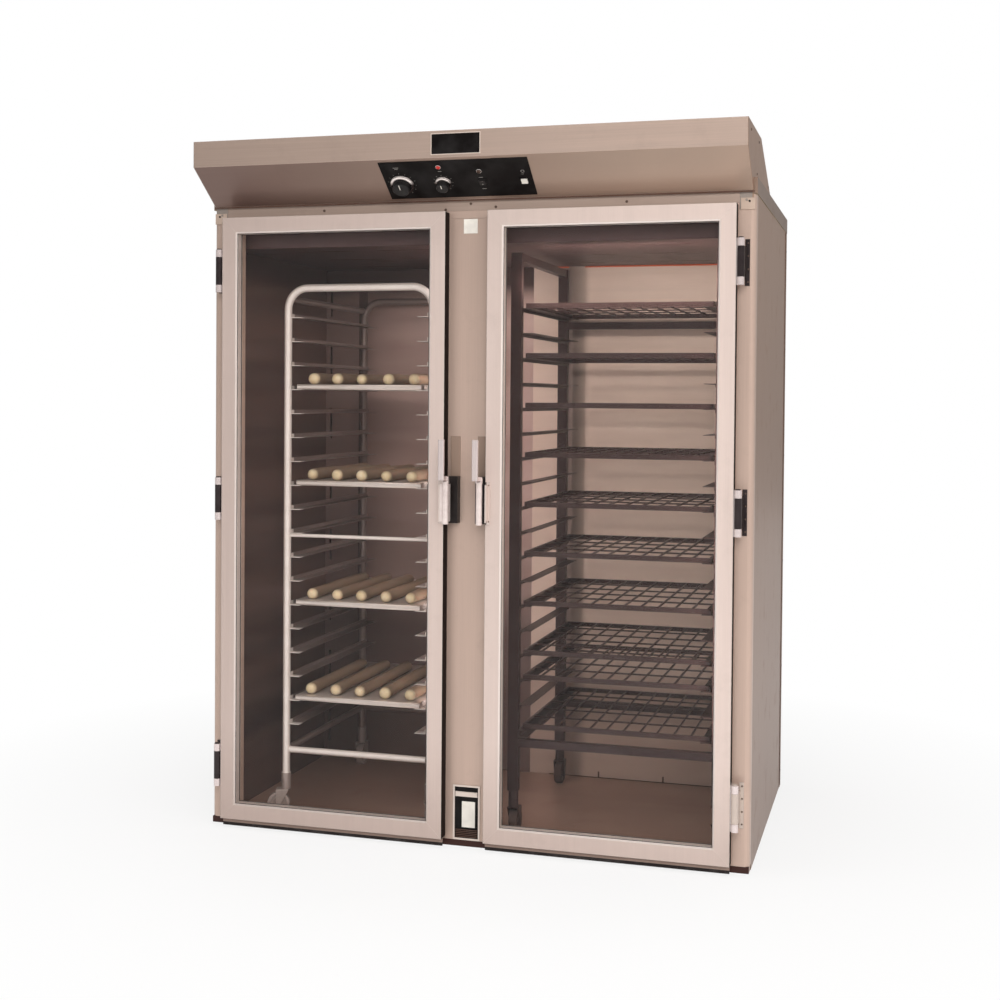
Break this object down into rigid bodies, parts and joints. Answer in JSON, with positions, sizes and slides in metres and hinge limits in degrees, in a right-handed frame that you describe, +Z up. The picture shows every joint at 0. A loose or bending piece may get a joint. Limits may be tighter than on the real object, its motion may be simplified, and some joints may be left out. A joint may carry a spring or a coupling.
{
  "type": "roll-in proofing cabinet",
  "caption": "Roll-in dough proofing cabinet with glazed doors, a sloped control hood with knobs and switches, and wheeled racks inside.",
  "frame": {"origin": "on the floor at the middle of the cabinet's base", "axes": "+Z up, -Y to the front with the doors, +X to the right as seen from the front"},
  "size_m": [1.794, 1.229, 2.249],
  "materials": {
    "cabinet_steel": "satin brushed sheet",
    "inner_steel": "satin inner sheet",
    "hood_steel": "satin brushed sheet",
    "insulation_board": "pressed fibre board, stands in for mineral wool",
    "panel_black": "fine matt black",
    "plate_mixed": "painted plate with a light frame",
    "control_plastic": "moulded black",
    "knob_black": "moulded black with a bright ring",
    "lamp_lens": "clear coloured lens",
    "rocker_black": "moulded black",
    "rocker_white": "moulded white",
    "zinc_sheet": "galvanised sheet",
    "motor_grey": "grey enamel",
    "heater_sheath": "heat tinted sheath",
    "pan_steel": "stainless sheet",
    "inlet_brass": "turned brass",
    "gland_plastic": "moulded black",
    "hinge_steel": "dark leaf with bright knuckles",
    "hinge_chrome": "polished",
    "strike_dark": "black block on a dull plate",
    "door_aluminium": "satin anodised",
    "pane_glass": "clear glass",
    "gasket_rubber": "soft black extrusion",
    "latch_chrome": "polished barrel, black plate",
    "rack_aluminium": "bright round tube",
    "tray_aluminium": "worn sheet",
    "dough": "floured dough, plastic density stands in",
    "rack_steel": "dark oiled steel",
    "shelf_wire": "dark bright-edged wire",
    "caster_steel": "zinc plated pressing",
    "wheel_rubber": "grey rubber tread on a hub"
  },
  "bodies": {
    "cabinet": {"left_side_panel": "cabinet_steel", "right_side_panel": "cabinet_steel", "back_panel": "cabinet_steel", "roof_panel": "cabinet_steel", "face_frame": "cabinet_steel", "center_mullion": "cabinet_steel", "inner_liners": "inner_steel", "rear_duct_panel": "inner_steel", "ceiling_duct_panel": "inner_steel", "floor_pan": "inner_steel", "hood_front": "hood_steel", "hood_cover": "hood_steel", "hood_end_caps": "hood_steel", "insulation": "insulation_board", "control_panel": "panel_black", "blank_plates": "plate_mixed", "control_bodies": "control_plastic", "pilot_lamps": "lamp_lens", "blower_housing": "zinc_sheet", "blower_motor": "motor_grey", "heater_element": "heater_sheath", "humidifier_pan": "pan_steel", "water_inlet": "inlet_brass", "cable_gland": "gland_plastic", "frame_hinge_leaves": "hinge_steel", "latch_strikes": "strike_dark"},
    "left_door": {"left_door_frame": "door_aluminium", "left_door_panes": "pane_glass", "left_door_gasket": "gasket_rubber", "left_door_hinges": "hinge_chrome", "left_latch_body": "latch_chrome"},
    "right_door": {"right_door_frame": "door_aluminium", "right_door_panes": "pane_glass", "right_door_gasket": "gasket_rubber", "right_door_hinges": "hinge_chrome", "right_latch_body": "latch_chrome"},
    "left_rack": {"left_rack_frame": "rack_aluminium", "left_rack_trays": "tray_aluminium", "dough_sticks": "dough"},
    "right_rack": {"right_rack_frame": "rack_steel", "right_rack_shelves": "shelf_wire"},
    "temperature_knob": {"temperature_knob": "knob_black"},
    "humidity_knob": {"humidity_knob": "knob_black"},
    "fan_rocker": {"fan_rocker": "rocker_black"},
    "power_rocker": {"power_rocker": "rocker_white"},
    "blower_wheel": {"blower_wheel": "zinc_sheet"},
    "left_latch_lever": {"left_latch_lever": "latch_chrome"},
    "right_latch_lever": {"right_latch_lever": "latch_chrome"},
    "left_rack_fork_front_left": {"left_rack_fork_front_left": "caster_steel"},
    "left_rack_fork_front_right": {"left_rack_fork_front_right": "caster_steel"},
    "right_rack_fork_front_left": {"right_rack_fork_front_left": "caster_steel"},
    "right_rack_fork_front_right": {"right_rack_fork_front_right": "caster_steel"},
    "left_rack_wheel_front_left": {"left_rack_wheel_front_left": "wheel_rubber"},
    "left_rack_wheel_front_right": {"left_rack_wheel_front_right": "wheel_rubber"},
    "left_rack_wheel_rear_left": {"left_rack_wheel_rear_left": "wheel_rubber"},
    "left_rack_wheel_rear_right": {"left_rack_wheel_rear_right": "wheel_rubber"},
    "right_rack_wheel_front_left": {"right_rack_wheel_front_left": "wheel_rubber"},
    "right_rack_wheel_front_right": {"right_rack_wheel_front_right": "wheel_rubber"},
    "right_rack_wheel_rear_left": {"right_rack_wheel_rear_left": "wheel_rubber"},
    "right_rack_wheel_rear_right": {"right_rack_wheel_rear_right": "wheel_rubber"}
  },
  "joints": [
    {"name": "left_door_hinge", "type": "hinge", "parent": "cabinet", "child": "left_door", "pos_m": [-0.8545, -0.576, 1], "axis": [0, 0, -1], "range_deg": [0, 170]},
    {"name": "right_door_hinge", "type": "hinge", "parent": "cabinet", "child": "right_door", "pos_m": [0.8545, -0.576, 1], "axis": [0, 0, 1], "range_deg": [0, 170]},
    {"name": "left_lever_pivot", "type": "hinge", "parent": "left_door", "child": "left_latch_lever", "pos_m": [-0.055, -0.602, 1.178], "axis": [1, 0, 0], "range_deg": [0, 25], "stiffness_Nm_per_rad": 0.8, "springref_deg": -20.05},
    {"name": "right_lever_pivot", "type": "hinge", "parent": "right_door", "child": "right_latch_lever", "pos_m": [0.055, -0.602, 1.178], "axis": [1, 0, 0], "range_deg": [0, 25], "stiffness_Nm_per_rad": 0.8, "springref_deg": -20.05},
    {"name": "temperature_turn", "type": "hinge", "parent": "cabinet", "child": "temperature_knob", "pos_m": [-0.202, -0.61047, 2.10121], "axis": [0, -0.5767, -0.817], "range_deg": [-150, 150]},
    {"name": "humidity_turn", "type": "hinge", "parent": "cabinet", "child": "humidity_knob", "pos_m": [-0.066, -0.61047, 2.10121], "axis": [0, -0.5767, -0.817], "range_deg": [-150, 150]},
    {"name": "fan_rock", "type": "hinge", "parent": "cabinet", "child": "fan_rocker", "pos_m": [0.06, -0.60091, 2.10609], "axis": [1, 0, 0], "range_deg": [-6, 6]},
    {"name": "power_rock", "type": "hinge", "parent": "cabinet", "child": "power_rocker", "pos_m": [0.195, -0.60091, 2.10609], "axis": [1, 0, 0], "range_deg": [-6, 6]},
    {"name": "blower_spin", "type": "hinge", "parent": "cabinet", "child": "blower_wheel", "pos_m": [0, -0.32, 2.13], "axis": [0, 0, 1], "continuous": true},
    {"name": "left_rack_roll", "type": "slide", "parent": "cabinet", "child": "left_rack", "axis": [0, 1, 0], "range_m": [-0.025, 0.03]},
    {"name": "right_rack_roll", "type": "slide", "parent": "cabinet", "child": "right_rack", "axis": [0, 1, 0], "range_m": [-0.025, 0.07]},
    {"name": "left_rack_swivel_left", "type": "hinge", "parent": "left_rack", "child": "left_rack_fork_front_left", "pos_m": [-0.6703, -0.4313, 0.11], "axis": [0, 0, 1], "continuous": true},
    {"name": "left_rack_front_roll_left", "type": "hinge", "parent": "left_rack_fork_front_left", "child": "left_rack_wheel_front_left", "pos_m": [-0.69379, -0.43985, 0.0578], "axis": [0.342, -0.9397, 0], "continuous": true},
    {"name": "left_rack_rear_roll_left", "type": "hinge", "parent": "left_rack", "child": "left_rack_wheel_rear_left", "pos_m": [-0.6703, 0.2633, 0.0578], "axis": [-1, 0, 0], "continuous": true},
    {"name": "left_rack_swivel_right", "type": "hinge", "parent": "left_rack", "child": "left_rack_fork_front_right", "pos_m": [-0.1587, -0.4313, 0.11], "axis": [0, 0, 1], "continuous": true},
    {"name": "left_rack_front_roll_right", "type": "hinge", "parent": "left_rack_fork_front_right", "child": "left_rack_wheel_front_right", "pos_m": [-0.15223, -0.40715, 0.0578], "axis": [-0.9659, 0.2588, 0], "continuous": true},
    {"name": "left_rack_rear_roll_right", "type": "hinge", "parent": "left_rack", "child": "left_rack_wheel_rear_right", "pos_m": [-0.1587, 0.2633, 0.0578], "axis": [-1, 0, 0], "continuous": true},
    {"name": "right_rack_swivel_left", "type": "hinge", "parent": "right_rack", "child": "right_rack_fork_front_left", "pos_m": [0.1225, -0.4125, 0.11], "axis": [0, 0, 1], "continuous": true},
    {"name": "right_rack_front_roll_left", "type": "hinge", "parent": "right_rack_fork_front_left", "child": "right_rack_wheel_front_left", "pos_m": [0.1225, -0.3875, 0.0578], "axis": [-1, 0, 0], "continuous": true},
    {"name": "right_rack_rear_roll_left", "type": "hinge", "parent": "right_rack", "child": "right_rack_wheel_rear_left", "pos_m": [0.1225, 0.2275, 0.0578], "axis": [-1, 0, 0], "continuous": true},
    {"name": "right_rack_swivel_right", "type": "hinge", "parent": "right_rack", "child": "right_rack_fork_front_right", "pos_m": [0.7825, -0.4125, 0.11], "axis": [0, 0, 1], "continuous": true},
    {"name": "right_rack_front_roll_right", "type": "hinge", "parent": "right_rack_fork_front_right", "child": "right_rack_wheel_front_right", "pos_m": [0.795, -0.39085, 0.0578], "axis": [-0.866, 0.5, 0], "continuous": true},
    {"name": "right_rack_rear_roll_right", "type": "hinge", "parent": "right_rack", "child": "right_rack_wheel_rear_right", "pos_m": [0.7825, 0.2275, 0.0578], "axis": [-1, 0, 0], "continuous": true}
  ]
}
